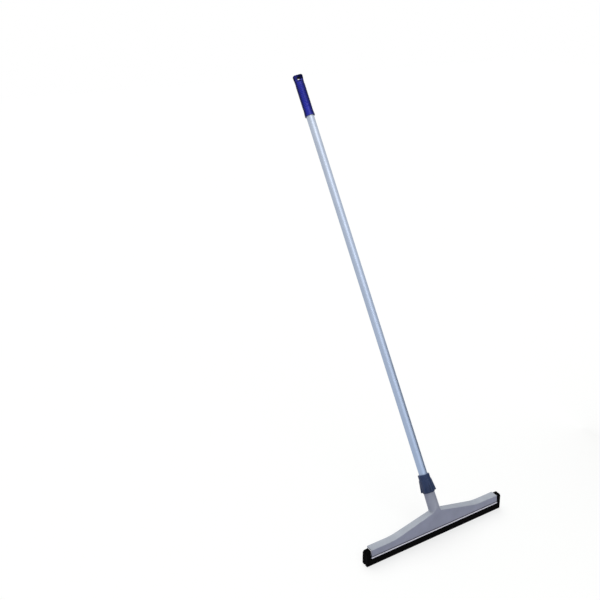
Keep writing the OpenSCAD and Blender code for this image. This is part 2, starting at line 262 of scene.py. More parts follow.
# %% Sizes of the head
head_low, head_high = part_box("head_frame")
HEAD_END = head_high.x / MM
HEAD_LOW = head_low.z / MM
HEAD_HALF = -head_low.y / MM
FACE_LEAN = math.radians(4)
ARM_H, ROOF_RISE, ARM_LEVEL = 18.5, 30.4, 73
ARM_TOP = HEAD_LOW + ARM_H
PEAK_TOP = ARM_TOP + ROOF_RISE
BEND_X = HEAD_END - ARM_LEVEL
PEAK_X = 17
BEND_ROUND = 18
WALL = 2.6


def half_depth(z):
    """Half depth of the head's outside at a height."""
    return HEAD_HALF - (z - HEAD_LOW) * math.tan(FACE_LEAN)


def half_hollow(z):
    """Half depth of the head's inside at a height."""
    return half_depth(z) - WALL / math.cos(FACE_LEAN)


def roof(x):
    """Height of the roof along the head: level, a soft bend, and the climb to the neck."""
    x = abs(x)
    climb = (PEAK_TOP - ARM_TOP) / (BEND_X - PEAK_X)
    if x < BEND_X - BEND_ROUND:
        return PEAK_TOP - climb * max(0, x - PEAK_X)
    return ARM_TOP + climb * max(0, BEND_X + BEND_ROUND - x) ** 2 / (4 * BEND_ROUND)


print(f"head {2 * HEAD_END:.0f} mm long, roof from {ARM_TOP:.1f} to {PEAK_TOP:.1f} mm")

# %% [markdown]
# Under the neck the front wall runs on up to the arch where the leaning neck leaves it. A slanted plane cuts
# a leaning cone there, and no short formula gives that curve. Halving does: a point of the neck's front is
# before the face or behind it, and each step keeps the half in which that changes.

# %% The arch under the neck
NECK_FOOT, NECK_FOOT_R, NECK_R = -7, 15.8, 14.8
HALVINGS = 40


def neck_radius(distance):
    """Radius of the neck's slight cone at a distance up the handle."""
    return np.interp(distance, (NECK_FOOT, NUT_LOW), (NECK_FOOT_R, NECK_R))


def arch(x):
    """Height at which the neck's front comes out of the plane of the front face."""
    low, high = NECK_FOOT, NUT_LOW
    for _ in range(HALVINGS):
        middle = (low + high) / 2
        front = -math.sqrt(max(0, neck_radius(middle) ** 2 - x * x))
        place = HANDLE @ (Vector((x, front, middle)) * MM) / MM
        if place.y + half_depth(place.z) < 0:
            low = middle
        else:
            high = middle
    return place.z


print(f"arch up to {arch(0):.1f} mm")

# %% [markdown]
# The shell is an upturned channel with a slot inside each wall, in which the cassette's rails slide. The
# roof's long edges are rounded, the front one a little more. A modeller could bevel a block, but the bends
# have to be soft too. A sweep does both: each station gives its own roof height and edge radius, and the
# stations are close together in the bends and under the neck.

# %% Shell of the head
ROOF = 2.6
RAIL_MID = (HEAD_LOW + ARM_TOP - ROOF) / 2
RAIL_HALF, RAIL_OUT = 1.3, 1.2
RAIL_LOW, RAIL_HIGH = RAIL_MID - RAIL_HALF, RAIL_MID + RAIL_HALF
EDGE_AT = (12, 14.5, BEND_X)
FRONT_ROUND = (0.3, 1.0, 1.3)
REAR_ROUND = 1.0
LOW_ROUND = 0.6
CLIMB_FROM = 110
BEND_STATIONS, CLIMB_STATIONS = 13, 6


def head_section(x):
    """Corners of the head's upturned channel at a station."""
    top = max(roof(x), arch(x)) if abs(x) < PEAK_X else roof(x)
    ceiling = top - ROOF
    slot = half_hollow(RAIL_MID) + RAIL_OUT
    front_round = float(np.interp(abs(x), EDGE_AT, FRONT_ROUND))
    rear = [
        (half_depth(HEAD_LOW), HEAD_LOW, LOW_ROUND),
        (half_hollow(HEAD_LOW), HEAD_LOW, LOW_ROUND),
        (half_hollow(RAIL_LOW), RAIL_LOW, LEAST_ROUND),
        (slot, RAIL_LOW, LEAST_ROUND),
        (slot, RAIL_HIGH, LEAST_ROUND),
        (half_hollow(RAIL_HIGH), RAIL_HIGH, LEAST_ROUND),
        (half_hollow(ceiling), ceiling, LOW_ROUND),
    ]
    front = [(-y, z, r) for y, z, r in reversed(rear)]
    return [(half_depth(top), top, REAR_ROUND), *rear, *front, (-half_depth(top), top, front_round)]


wing = [HEAD_END, *np.linspace(BEND_X + BEND_ROUND, BEND_X - BEND_ROUND, BEND_STATIONS)]
wing += list(np.linspace(CLIMB_FROM, PEAK_X, CLIMB_STATIONS))
under_neck = list(np.arange(PEAK_X - 1, -PEAK_X, -1.0))
stations = sorted(wing + under_neck + [-x for x in wing])
head = sweep("head_frame_moulded", head_section, stations, LOW_ROUND)
print("shell:", len(head.data.polygons), "faces over", len(stations), "stations")

# %% [markdown]
# Ribs across the hollow keep the thin roof from folding, as in any moulded channel. They sit above the
# cassette's way. Each is a thin plate between the two faces, joined to the shell by a boolean, so that the
# head stays one clean solid.

# %% Cross webs under the roof
WEB_T, WEB_PITCH = 2, 34
CASSETTE_WAY = ARM_TOP - ROOF


def web_plate(x):
    """A thin plate across the hollow, let into the walls and the roof."""
    sink = WALL / 2
    top = min(roof(x - WEB_T / 2), roof(x + WEB_T / 2)) - sink
    low, high = half_hollow(CASSETTE_WAY) + sink, half_hollow(top) + sink
    outline = [(low, CASSETTE_WAY), (high, top), (-high, top), (-low, CASSETTE_WAY)]
    return skin("web", [[(x + side * WEB_T / 2, y, z) for y, z in outline] for side in (-1, 1)])


web_count = int((BEND_X - PEAK_X) / WEB_PITCH) + 1
for i in range(web_count):
    for side in (-1, 1):
        combine(head, web_plate(side * (PEAK_X + i * WEB_PITCH)), "UNION")
print("webs:", 2 * web_count)

# %% [markdown]
# The neck is turned about the handle's line: a slight cone, a shoulder under the nut, a threaded end and the
# socket for the tube. A thread is a ridge that climbs one lead a turn, so in (angle, distance) it is a row
# of slanted lines, and a height for each grid point draws it. Near the head the radius swells a little,
# which gives the fillet that every moulded corner has, and the front is cut back to the plane of the face.

# %% Thread and turned rings
LEAD, RIDGE_FOOT, RIDGE_TIP = 4, 2.4, 1.1
FADE_TURNS = 1 / 3
SIDES = 96
ANGLES = np.linspace(0, 2 * math.pi, SIDES, endpoint=False)


def ridge(angle, distance, start, turns):
    """Share of the thread's height at a point, from 0 between the ridges to 1 on them."""
    lap = angle / (2 * math.pi)
    turn = np.round((distance - start) / LEAD - lap)
    away = abs(distance - start - LEAD * (turn + lap))
    fade = np.clip(np.minimum(turn + lap, turns - turn - lap) / FADE_TURNS, 0, 1)
    return np.clip((RIDGE_FOOT / 2 - away) / (RIDGE_FOOT / 2 - RIDGE_TIP / 2), 0, 1) * fade


def circle(radius, distance, angles=ANGLES):
    """A ring about the handle's line, in handle coordinates."""
    radius = np.broadcast_to(radius, angles.shape)
    height = np.full(angles.shape, float(distance))
    return np.stack([radius * np.cos(angles), radius * np.sin(angles), height], axis=1)


print("thread lead", LEAD, "mm, rings of", SIDES, "points")

# %% Outside of the neck
FILLET, SWELL = 4, 1.8
FACE_SINK = 0.2


def outside_head(place):
    """How far a point is outside the head's faces and roof, and below 0 inside them."""
    roof_here = np.array([roof(x) for x in place[:, 0]])
    return np.maximum(abs(place[:, 1]) - half_depth(place[:, 2]), place[:, 2] - roof_here)


def in_frame(ring):
    """A ring in handle coordinates, brought into the frame, both in millimetres."""
    turn = np.array(HANDLE.to_3x3())
    return ring @ turn.T + np.array(CROSSING) / MM


def neck_ring(distance):
    """A ring of the neck's outside, with its fillet, cut back to the front face."""
    radius = np.full(SIDES, float(neck_radius(distance)))
    away = abs(outside_head(in_frame(circle(radius, distance))))
    ring = in_frame(circle(radius + SWELL * np.clip(1 - away / FILLET, 0, 1) ** 2, distance))
    ring[:, 1] = np.maximum(ring[:, 1], FACE_SINK - half_depth(ring[:, 2]))
    return ring


print("neck fillet", FILLET, "mm")

# %% Neck with its thread and socket
THREAD_TURNS, THREAD_H, THREAD_MARGIN = 3.75, 1, 3
THREAD_START = NUT_LOW + THREAD_MARGIN
NECK_TOP = THREAD_START + THREAD_TURNS * LEAD + THREAD_MARGIN
SHOULDER, NECK_EDGE = 0.4, 0.3
CONE_STEP, THREAD_STEP = 1.0, 0.5
SOCKET_R, SOCKET_FLOOR = 11.65, 12
MOUTH_R, MOUTH_H = 12.9, 1.15
root_r = NECK_R - THREAD_H
rings = [neck_ring(s) for s in np.arange(NECK_FOOT, NUT_LOW - CONE_STEP / 2, CONE_STEP)]
rings += [neck_ring(NUT_LOW - SHOULDER), in_frame(circle(NECK_R - SHOULDER, NUT_LOW))]
for s in np.arange(NUT_LOW, NECK_TOP - SHOULDER, THREAD_STEP):
    thread_r = root_r + THREAD_H * ridge(ANGLES, s, THREAD_START, THREAD_TURNS)
    rings.append(in_frame(circle(thread_r, s)))
mouth = [(root_r, NECK_TOP - NECK_EDGE), (MOUTH_R, NECK_TOP)]
mouth += [(SOCKET_R, NECK_TOP - MOUTH_H), (SOCKET_R, SOCKET_FLOOR)]
rings += [in_frame(circle(r, s)) for r, s in mouth]
combine(head, skin("neck", rings), "UNION")
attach(head, "head")
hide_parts("head_frame")
print("head with neck:", len(head.data.polygons), "faces")

# %% [markdown]
# The lock nut squeezes a split ring onto the tube. For the hand it has six broad ribs that flare downwards
# and stop above a narrow ring, and a plain collar above a small ledge. It is drawn as rings too: the ribs
# are a wave of the radius with soft flanks, and the angles crowd where the flanks are steep. The bore
# carries the mating thread, half a turn round from the neck's.

# %% Ribs of the nut
NUT_RIBS, NUT_TURNED = 6, math.radians(27)
RIB_HALF, RIB_FLANK, RIB_CROWN, RIB_MID_R = 2.5, 1.6, 0.02, 17.5


def smooth(share):
    """A share, kept from 0 to 1 and eased at both ends."""
    share = np.clip(share, 0, 1)
    return share**2 * (3 - 2 * share)


across = np.array([-8.2, -6.6, -5.2, -4.2, -3.5, -3.1, -2.7, -2.3, -1.9, -1.5, -0.8])
across = np.concatenate([across, [0], -across[::-1]])
sector = 2 * math.pi / NUT_RIBS
nut_angles = np.concatenate([NUT_TURNED + sector * i + across / RIB_MID_R for i in range(NUT_RIBS)])
from_rib = np.tile(abs(across), NUT_RIBS)
rib_wave = smooth((RIB_HALF + RIB_FLANK / 2 - from_rib) / RIB_FLANK)
rib_crown = 1 - RIB_CROWN * np.minimum(from_rib, RIB_HALF) ** 2
print("nut:", NUT_RIBS, "ribs, rings of", len(nut_angles), "points")

# %% Outside of the nut
NUT_BODY_R, NUT_COLLAR_R, NUT_RING_R, NUT_BORE_R = 16.7, 15.75, 16.2, 15.15
RIB_START, COLLAR_START = NUT_LOW + 2.5, NUT_TOP - 14
FLARE_FROM, FLARE_STOP, RIB_TOP_OUT = RIB_START + 1, COLLAR_START - 0.4, 0.4
RIB_ENDS, RIB_RINGS, COLLAR_ROUND = 3, 8, 1.4
LOW_EDGE = ((0, NUT_BORE_R + 0.5), (0.12, NUT_RING_R - 0.2), (0.5, NUT_RING_R), (1.5, NUT_RING_R + 0.2))
RIB_FOOT = ((-0.2, 0), (0, 0.1), (0.03, 0.6), (0.15, 0.85), (0.45, 0.96), (1, 1))
RIB_HEAD = ((1.5, 1), (0.6, 0.7), (0.2, 0.2))
LEDGE = ((0.15, NUT_BODY_R), (0.5, NUT_BODY_R - 0.25), (0.8, NUT_COLLAR_R), (1.3, NUT_COLLAR_R))


def nut_ring(distance, body, share):
    """A ring of the nut's outside, where the ribs stand out by a share of their height."""
    flare = np.interp(distance, (FLARE_FROM, FLARE_STOP), (NUT_RIB_R, NUT_BODY_R + RIB_TOP_OUT))
    rise = np.maximum(flare - body, 0) * share * rib_crown
    return circle(body + rise * rib_wave, distance, nut_angles)


rings = [nut_ring(NUT_LOW + rise, r, 0) for rise, r in LOW_EDGE]
rings += [nut_ring(RIB_START + rise, NUT_BODY_R, share) for rise, share in RIB_FOOT]
along_ribs = np.linspace(RIB_START + RIB_ENDS, COLLAR_START - RIB_ENDS, RIB_RINGS)
rings += [nut_ring(s, NUT_BODY_R, 1) for s in along_ribs]
rings += [nut_ring(COLLAR_START - drop, NUT_BODY_R, share) for drop, share in RIB_HEAD]
rings += [nut_ring(COLLAR_START + rise, r, 0) for rise, r in LEDGE]
for turn in np.linspace(0, math.pi / 2, 5):
    collar_r = NUT_COLLAR_R - COLLAR_ROUND * (1 - math.cos(turn))
    rings.append(nut_ring(NUT_TOP - COLLAR_ROUND * (1 - math.sin(turn)), collar_r, 0))
print("outside of the nut:", len(rings), "rings")

# %% Inside of the nut
NUT_MOUTH_R, MOUTH_EDGE = 11.8, 0.5
RING_SEAT_R, SEAT_CONE_R = 14.65, 12.5
SEAT_LOW, SEAT_HIGH, SEAT_TOP = NECK_TOP + 0.3, NECK_TOP + 10.5, NECK_TOP + 14.15
SEAT_EDGE, SEAT_STEP = 0.2, 0.02
NUT_THREAD_TURNS, THREAD_GAP, BORE_EDGE = 2.75, 0.35, 0.1
inner = [(NUT_TOP, NUT_MOUTH_R + MOUTH_EDGE), (NUT_TOP - MOUTH_EDGE, NUT_MOUTH_R), (SEAT_TOP, NUT_MOUTH_R)]
inner += [(SEAT_TOP - SEAT_STEP, SEAT_CONE_R), (SEAT_HIGH, RING_SEAT_R)]
inner += [(SEAT_LOW + SEAT_EDGE, RING_SEAT_R), (SEAT_LOW, NUT_BORE_R)]
rings += [circle(r, s, nut_angles) for s, r in inner]
for s in np.arange(NECK_TOP - 1, NUT_LOW, -THREAD_STEP):
    groove = ridge((nut_angles + math.pi) % (2 * math.pi), s, THREAD_START, NUT_THREAD_TURNS)
    rings.append(circle(NUT_BORE_R - groove * (NUT_BORE_R - root_r - THREAD_GAP), s, nut_angles))
rings.append(circle(NUT_BORE_R, NUT_LOW + BORE_EDGE, nut_angles))
nut = skin("lock_nut_moulded", rings, loop=True)
nut.matrix_world = HANDLE
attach(nut, "nut")
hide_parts("lock_nut")
print("nut:", len(nut.data.polygons), "faces")

# %% [markdown]
# The handle is a plain drawn tube. Its ends are cut and lightly broken, so each rim is a small slant. A
# cylinder with a bevel would do as well; the rings keep to the same handle coordinates as the nut and grip.

# %% The handle tube
RIM = 0.25
TUBE_SIDES, TUBE_RINGS = 72, 14
tube_angles = np.linspace(0, 2 * math.pi, TUBE_SIDES, endpoint=False)
outside = [(TUBE_LOW, TUBE_R - RIM), (TUBE_LOW + RIM, TUBE_R)]
outside += [(s, TUBE_R) for s in np.linspace(TUBE_LOW, TUBE_TOP, TUBE_RINGS)[1:-1]]
outside += [(TUBE_TOP - RIM, TUBE_R), (TUBE_TOP, TUBE_R - RIM)]
inside = [(TUBE_TOP, TUBE_IN_R + RIM), (TUBE_TOP - RIM, TUBE_IN_R)]
inside += [(TUBE_LOW + RIM, TUBE_IN_R), (TUBE_LOW, TUBE_IN_R + RIM)]
tube = skin("handle_tube_drawn", [circle(r, s, tube_angles) for s, r in outside + inside], loop=True)
tube.matrix_world = HANDLE
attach(tube, "handle")
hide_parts("handle_tube")
print(f"tube: {TUBE_TOP - TUBE_LOW:.0f} mm long, {2 * TUBE_R:.0f} mm thick")

# %% [markdown]
# The grip is a moulded sleeve: a flared lower edge, a plain length for the thumb, rounded rings, and a head
# with two flats and a hanging hole. The rings are a smooth wave of the radius, and the flats limit the
# radius to a plane on either side. Modelled rings, and not a bump, give each ring its own highlight.

# %% Outline of the grip
GRIP_R, GRIP_HEAD_R, GRIP_ROUND = 13.2, 14.6, 2.5
RING_OUT, RING_PITCH, RING_SHARE, RING_FLANK = 0.7, 5, 0.75, 0.25
FLARE_H, PLAIN_LOW, PLAIN_TOP = 3, 23, 27
WIDEN, WIDEN_POWER = 22, 1.5
HANG_R, HANG_DROP, HANG_TURN = 4.75, 11, math.radians(-24)
FLAT_HALF, FLAT_BELOW, FLAT_BLEND = 8.5, 2, 1.2
LEAST_FACING = 1e-3
first_ring, last_ring = GRIP_LOW + PLAIN_LOW, GRIP_TOP - PLAIN_TOP
ring_count = int((last_ring - first_ring) / RING_PITCH)
hang_at = GRIP_TOP - HANG_DROP
flat_low = hang_at - HANG_R - FLAT_BELOW


def grip_radius(distance):
    """Radius of the grip's outside, before its flats."""
    if distance < first_ring:
        return np.interp(distance, (GRIP_LOW + FLARE_H, first_ring), (GRIP_FLARE_R, GRIP_R))
    if distance < first_ring + ring_count * RING_PITCH:
        share = (distance - first_ring) / RING_PITCH % 1
        half = RING_SHARE / 2
        return GRIP_R + RING_OUT * smooth((half - abs(share - half)) / RING_FLANK)
    widen = np.clip((distance - last_ring) / WIDEN, 0, 1)
    return GRIP_R + (GRIP_HEAD_R - GRIP_R) * widen**WIDEN_POWER


def grip_ring(distance, radius):
    """A ring of the grip's outside, limited by the two flats, which ramp out below the hole."""
    plane = FLAT_HALF + max(0, flat_low - distance)
    facing = abs(np.cos(ANGLES - HANG_TURN - math.pi / 2))
    limit = plane / np.maximum(facing, LEAST_FACING)
    soft = np.clip(0.5 + (limit - radius) / FLAT_BLEND, 0, 1)
    return circle(limit + (radius - limit) * soft - FLAT_BLEND / 2 * soft * (1 - soft), distance)


print("grip:", ring_count, "rings")

# %% The grip
BORE_R = 11.55
STEPS_PER_RING, HEAD_STEPS, DOME_STEPS = 16, 30, 8
GRIP_EDGE = ((BORE_R + 0.25, 0), (GRIP_FLARE_R - 0.8, 0), (GRIP_FLARE_R - 0.25, 0.25), (GRIP_FLARE_R, 0.8))
rings = [circle(BORE_R, TUBE_TOP), circle(BORE_R, GRIP_LOW + 0.3)]
rings += [circle(r, GRIP_LOW + rise) for r, rise in GRIP_EDGE]
steps = [GRIP_LOW + FLARE_H, GRIP_LOW + 2 * FLARE_H, *np.linspace(GRIP_LOW + 10, first_ring - 1, 5)]
steps += list(np.arange(first_ring, first_ring + ring_count * RING_PITCH, RING_PITCH / STEPS_PER_RING))
steps += list(np.linspace(last_ring, GRIP_TOP - GRIP_ROUND, HEAD_STEPS))
rings += [grip_ring(s, grip_radius(s)) for s in steps]
for turn in np.linspace(0, math.pi / 2, DOME_STEPS)[1:]:
    dome = GRIP_HEAD_R - GRIP_ROUND * (1 - math.cos(turn))
    rings.append(grip_ring(GRIP_TOP - GRIP_ROUND * (1 - math.sin(turn)), dome))
grip = skin("hand_grip_moulded", rings)
print("grip:", len(rings), "rings of points")

# %% [markdown]
# The hanging hole goes through the grip's two flats and is turned to the front a little. A plain cylinder
# would leave sharp rims. The cutter is a spool whose ends flare, so the boolean rounds them.

# %% The hanging hole
RIM_ROUND, RIM_STEPS, RIM_TURN = 0.4, 7, math.radians(70)
SPOOL_OUT, HOLE_SIDES = 6, 64
spool = [(FLAT_HALF + SPOOL_OUT, HANG_R + RIM_ROUND + SPOOL_OUT)]
for turn in np.linspace(RIM_TURN, 0, RIM_STEPS):
    depth = FLAT_HALF - RIM_ROUND * (1 - math.sin(turn))
    spool.append((depth, HANG_R + RIM_ROUND * (1 - math.cos(turn))))
spool += [(-t, r) for t, r in reversed(spool)]
hole_angles = np.linspace(0, 2 * math.pi, HOLE_SIDES, endpoint=False)
through = np.array(Matrix.Rotation(HANG_TURN, 3, "Z") @ Matrix.Rotation(math.pi / 2, 3, "X"))
cutter = skin("hole", [circle(r, t, hole_angles) @ through.T + (0, 0, hang_at) for t, r in spool])
combine(grip, cutter, "DIFFERENCE")
grip.data.transform(HANDLE)
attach(grip, "handle")
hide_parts("hand_grip")
print("grip with hole:", len(grip.data.polygons), "faces")

# %% [markdown]
# The refill is an extruded white channel with an upturned lip below and a guide rail on each side. An
# extrusion is a sweep of one section, so the corners are written once, for the rear half, and mirrored.

# %% Cassette
box_low, box_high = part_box("blade_cassette")
CASSETTE_END, LIP_LOW, CASSETTE_TOP = box_high.x / MM, box_low.z / MM, box_high.z / MM
LIP_H, GUTTER_DEEP = 3.3, 1.9
LIP_HALF, LIP_TOP = box_high.y / MM, LIP_LOW + LIP_H
LIP_EDGE, LIP_SLANT, GUTTER = 1, 0.7, LIP_TOP - GUTTER_DEEP
SLIDE_GAP, CHANNEL_WALL = 0.3, 1.4
EDGE = 0.35


def cassette_half(z):
    """Half width of the cassette's outside above its lips."""
    return half_hollow(z) - SLIDE_GAP


def pocket_half(z):
    """Half width of the cassette's inside."""
    return cassette_half(z) - CHANNEL_WALL / math.cos(FACE_LEAN)


def cassette_section(x):
    """Corners of the extruded channel, the same at every station."""
    roof_under = CASSETTE_TOP - CHANNEL_WALL
    rail_low, rail_high = RAIL_LOW + SLIDE_GAP, RAIL_HIGH - SLIDE_GAP
    rail = cassette_half(RAIL_MID) + RAIL_OUT
    rear = [
        (cassette_half(CASSETTE_TOP), CASSETTE_TOP, EDGE),
        (cassette_half(rail_high), rail_high, LEAST_ROUND),
        (rail, rail_high, EDGE),
        (rail, rail_low, EDGE),
        (cassette_half(rail_low), rail_low, LEAST_ROUND),
        (cassette_half(GUTTER), GUTTER, EDGE),
        (LIP_HALF - LIP_EDGE, LIP_TOP, LEAST_ROUND),
        (LIP_HALF - LIP_SLANT, LIP_TOP, 2 * LEAST_ROUND),
        (LIP_HALF, LIP_LOW + LIP_SLANT, EDGE),
        (LIP_HALF, LIP_LOW, EDGE),
        (pocket_half(LIP_LOW), LIP_LOW, EDGE),
        (pocket_half(roof_under), roof_under, EDGE),
    ]
    return rear + [(-y, z, r) for y, z, r in reversed(rear)]


cassette = sweep("blade_cassette_extruded", cassette_section, [-CASSETTE_END, 0, CASSETTE_END], EDGE)
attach(cassette, "refill")
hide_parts("blade_cassette")
print(f"cassette {2 * CASSETTE_END:.0f} mm long, lip {2 * LIP_HALF:.0f} mm deep")

# %% [markdown]
# Two strips of moss rubber are wedged in the channel, and stand out at both ends. They are sweeps too, but
# their section changes: out of the channel the squeezed foam swells again to its full width. The left ends
# are worn round at the top, so their sections get lower there; the right ends are cut nearly square and
# swell up a little too.

# %% Section of a blade
blade_low, blade_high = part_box("rear_blade")
BLADE_END, BLADE_TOP = blade_high.x / MM, blade_high.z / MM
BLADE_IN, BLADE_OUT = blade_low.y / MM, blade_high.y / MM
BLADE_GAP_HALF, HELD_GAP = 1.3, 0.1
SOLE_BEVEL, SOLE_ROUND, STRIP_ROUND = 1, 0.4, 0.3
SWELL_LENGTH, SWELL_LOSS, SWELL_ROUND = 1.5, 0.4, 6
WORN_CORNER, CUT_CORNER, CUT_RISE = 6, 1.5, 3.6


def blade_section(x, side):
    """Corners of one strip: a free lip below, and the part held in the cassette."""
    corner, rise = (WORN_CORNER, 0) if x < 0 else (CUT_CORNER, CUT_RISE)
    past = max(0, abs(x) - (BLADE_END - corner))
    step = LIP_LOW - HELD_GAP
    swell = float(np.clip((abs(x) - CASSETTE_END - HELD_GAP) / SWELL_LENGTH, 0, 1))
    swell = math.sin(swell * math.pi / 2)
    top = BLADE_TOP + rise * swell - corner + math.sqrt(corner**2 - past**2)
    full = BLADE_OUT - SWELL_LOSS
    held = [pocket_half(z) - HELD_GAP for z in (step, top)]
    held_low, held_top = (h + (full - h) * swell for h in held)
    corners = [
        (BLADE_GAP_HALF, SOLE_BEVEL, SOLE_ROUND),
        (BLADE_GAP_HALF + SOLE_BEVEL, 0, SOLE_ROUND),
        (BLADE_OUT - SOLE_BEVEL, 0, SOLE_ROUND),
        (BLADE_OUT, SOLE_BEVEL, SOLE_ROUND),
        (BLADE_OUT, step, STRIP_ROUND),
        (held_low, step, LEAST_ROUND),
        (held_top, top, STRIP_ROUND + SWELL_ROUND * swell),
        (BLADE_IN, top, STRIP_ROUND),
        (BLADE_IN, step, LEAST_ROUND),
        (BLADE_GAP_HALF, step, LEAST_ROUND),
    ]
    return [(side * y, z, r) for y, z, r in corners]


print(f"blades {2 * BLADE_END:.0f} mm long, {BLADE_TOP:.1f} mm high")

# %% The two blades
MIDDLE_X, MIDDLE_STATIONS = 200, 41
SWELL_STATIONS, CORNER_STATIONS = 5, 9
CUT_ROUND = 0.5


def tip_stations(corner):
    """Stations along one free end, close together where it swells and where its corner is round."""
    swelling = CASSETTE_END + HELD_GAP + SWELL_LENGTH * np.linspace(0, 1, SWELL_STATIONS)
    turns = np.linspace(0, math.pi / 2, CORNER_STATIONS)
    return [CASSETTE_END, *swelling, *(BLADE_END - corner * (1 - np.sin(turns)))]


tips = [-x for x in tip_stations(WORN_CORNER)] + tip_stations(CUT_CORNER)
blade_stations = sorted(tips + list(np.linspace(-MIDDLE_X, MIDDLE_X, MIDDLE_STATIONS)))
blades = []
for name, side in (("front_blade", -1), ("rear_blade", 1)):
    blade = sweep(name + "_cut", lambda x, side=side: blade_section(x, side), blade_stations, CUT_ROUND)
    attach(blade, "refill")
    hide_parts(name)
    blades.append(blade)
print("blades:", [len(b.data.polygons) for b in blades], "faces")

# %% [markdown]
# Every finish is a small node tree. Colours are written as the sRGB hex values that a colour picker shows,
# and one function makes them linear, because light adds up in linear numbers. Another adds a node: a value
# given for a socket is set on it, and another node's output is linked to it. Pattern scales come from real
# sizes: Blender's noise has about one bump per unit of scale, so a 2 mm grain asks for a scale of 1 / 0.002.

# %% Helpers for finishes
def linear(code):
    """Linear RGBA of an sRGB hex colour such as #A3A6B2."""
    shares = [int(code[i:i + 2], 16) / 255 for i in (1, 3, 5)]
    return [s / 12.92 if s <= 0.04045 else ((s + 0.055) / 1.055) ** 2.4 for s in shares] + [1.0]


def per(size_mm):
    """Pattern scale for features of a size."""
    return 1 / (size_mm * MM)


def add(tree, kind, sockets=None, **settings):
    """Add a node, with its settings, and set or link its sockets."""
    made = tree.nodes.new("ShaderNode" + kind)
    for name, value in settings.items():
        setattr(made, name, value)
    for name, value in (sockets or {}).items():
        if isinstance(value, bpy.types.NodeSocket):
            tree.links.new(value, made.inputs[name])
        else:
            made.inputs[name].default_value = value
    return made


def finish(name):
    """An empty node tree of a new material, with its surface coordinates."""
    material = bpy.data.materials.new(name)
    material.use_nodes = True
    material.node_tree.nodes.clear()
    place = add(material.node_tree, "TexCoord").outputs["Object"]
    return material, material.node_tree, place


def close(tree, shader):
    """Send a shader to the material's output."""
    add(tree, "OutputMaterial", {"Surface": shader.outputs[0]})


print("white is", linear("#FFFFFF")[0], "and mid grey", round(linear("#808080")[0], 3))

# %% [markdown]
# A few kinds of node come back in every finish: noise, a ramp between two colours, a value spread over
# another range, a sum, a mix of colours and a bump. Each gets a short function that returns its output, so
# that a finish reads as a list of steps.

# %% Common nodes
def noise(tree, place, size_mm, detail, roughness=0.5):
    """Noise with bumps of a size."""
    sockets = {"Vector": place, "Scale": per(size_mm), "Detail": detail, "Roughness": roughness}
    return add(tree, "TexNoise", sockets).outputs["Fac"]


def ramp(tree, value, low, dark, high, light):
    """A colour that goes from dark to light as a value goes from low to high."""
    made = add(tree, "ValToRGB", {"Fac": value})
    for stop, position, colour in zip(made.color_ramp.elements, (low, high), (dark, light)):
        stop.position, stop.color = position, linear(colour)
    return made.outputs["Color"]


def spread(tree, value, start, end, low=0.0, high=1.0):
    """A value from low to high, spread from start to end."""
    limits = {"From Min": low, "From Max": high, "To Min": start, "To Max": end}
    return add(tree, "MapRange", {"Value": value, **limits}).outputs["Result"]


def maths(tree, operation, a, b=0.0):
    """The result of one operation on two values."""
    return add(tree, "Math", {0: a, 1: b}, operation=operation).outputs[0]


def blend(tree, share, a, b, how="MIX"):
    """A share of colour b over colour a."""
    return add(tree, "Mix", {0: share, 6: a, 7: b}, data_type="RGBA", blend_type=how).outputs[2]


def bumps(tree, height, strength, depth_mm):
    """A normal that follows a height."""
    sockets = {"Height": height, "Strength": strength, "Distance": depth_mm * MM}
    return add(tree, "Bump", sockets).outputs["Normal"]


print("common nodes: noise, ramp, spread, maths, blend, bumps")

# %% [markdown]
# The head is grey polypropylene, injection-moulded. The tool's spark-eroded surface leaves a fine, even grain
# that breaks up reflections, and the melt leaves broad, faint clouds of lighter and darker grey. Polypropylene
# has an IOR of 1.49 and a satin gloss. The real grain, about 0.1 mm, is too fine to show, so it is drawn at
# 2.5 mm.

# %% Grey polypropylene, moulded
CLOUD_MM, CLOUD_DARK, CLOUD_LIGHT = 45, 0.32, 0.68
GLOSS_SPREAD = 0.08


def moulded(name, light, dark, roughness, sheen=0.5, grain_mm=2.5, painted_shade=None):
    """A moulded plastic: clouded colour, a grain in its gloss and surface, and, if given, painted shade that
    may change both.
    """
    material, tree, place = finish(name)
    cloud = noise(tree, place, CLOUD_MM, 3.0, 0.55)
    colour = ramp(tree, cloud, CLOUD_DARK, dark, CLOUD_LIGHT, light)
    if painted_shade:
        colour, sheen = painted_shade(tree, place, colour, sheen)
    grain = noise(tree, place, grain_mm, 2.0)
    close(tree, add(tree, "BsdfPrincipled", {
        "Base Color": colour,
        "Roughness": spread(tree, grain, roughness - GLOSS_SPREAD, roughness + GLOSS_SPREAD),
        "Normal": bumps(tree, grain, 0.12, 0.1),
        "IOR": 1.49, "Specular IOR Level": sheen,
    }))
    return material


head.data.materials.clear()
head.data.materials.append(moulded("polypropylene_grey_moulded", "#A3A8B4", "#979CA8", 0.5))
print("head finished")

# %% [markdown]
# The nut is navy glass-filled nylon, a shade darker where the fibres sink, with the same moulded grain.
# Nylon's IOR of 1.53 is so near polypropylene's that the same function serves. The blue grip is polished
# where the head is grained: its tool was smooth, so it shows sharp highlights on every ring, with only slight
# hand marks in its gloss. Painted shade turns its blue to dark navy and takes its gloss away where the eye
# skims the surface, and over its head, most of all on the right. A facing weight and two ramps, one up the
# handle and one along x, say how much of the unshaded blue is left.

# %% Navy nylon and blue grip
# Painted shade on the grip: where it starts below the head's top, how much blue is left from left to right,
# and at a skimming view.
HEAD_SHADE_DROP, HEAD_SHADE_RAMP = 16.5, 3.5
SIDE_SHADE_FROM, SIDE_SHADE_LEFT, SIDE_SHADE_RIGHT = -9, 0.35, 0.05
SKIM_FROM, SKIM_LEFT = 0.35, 0.15


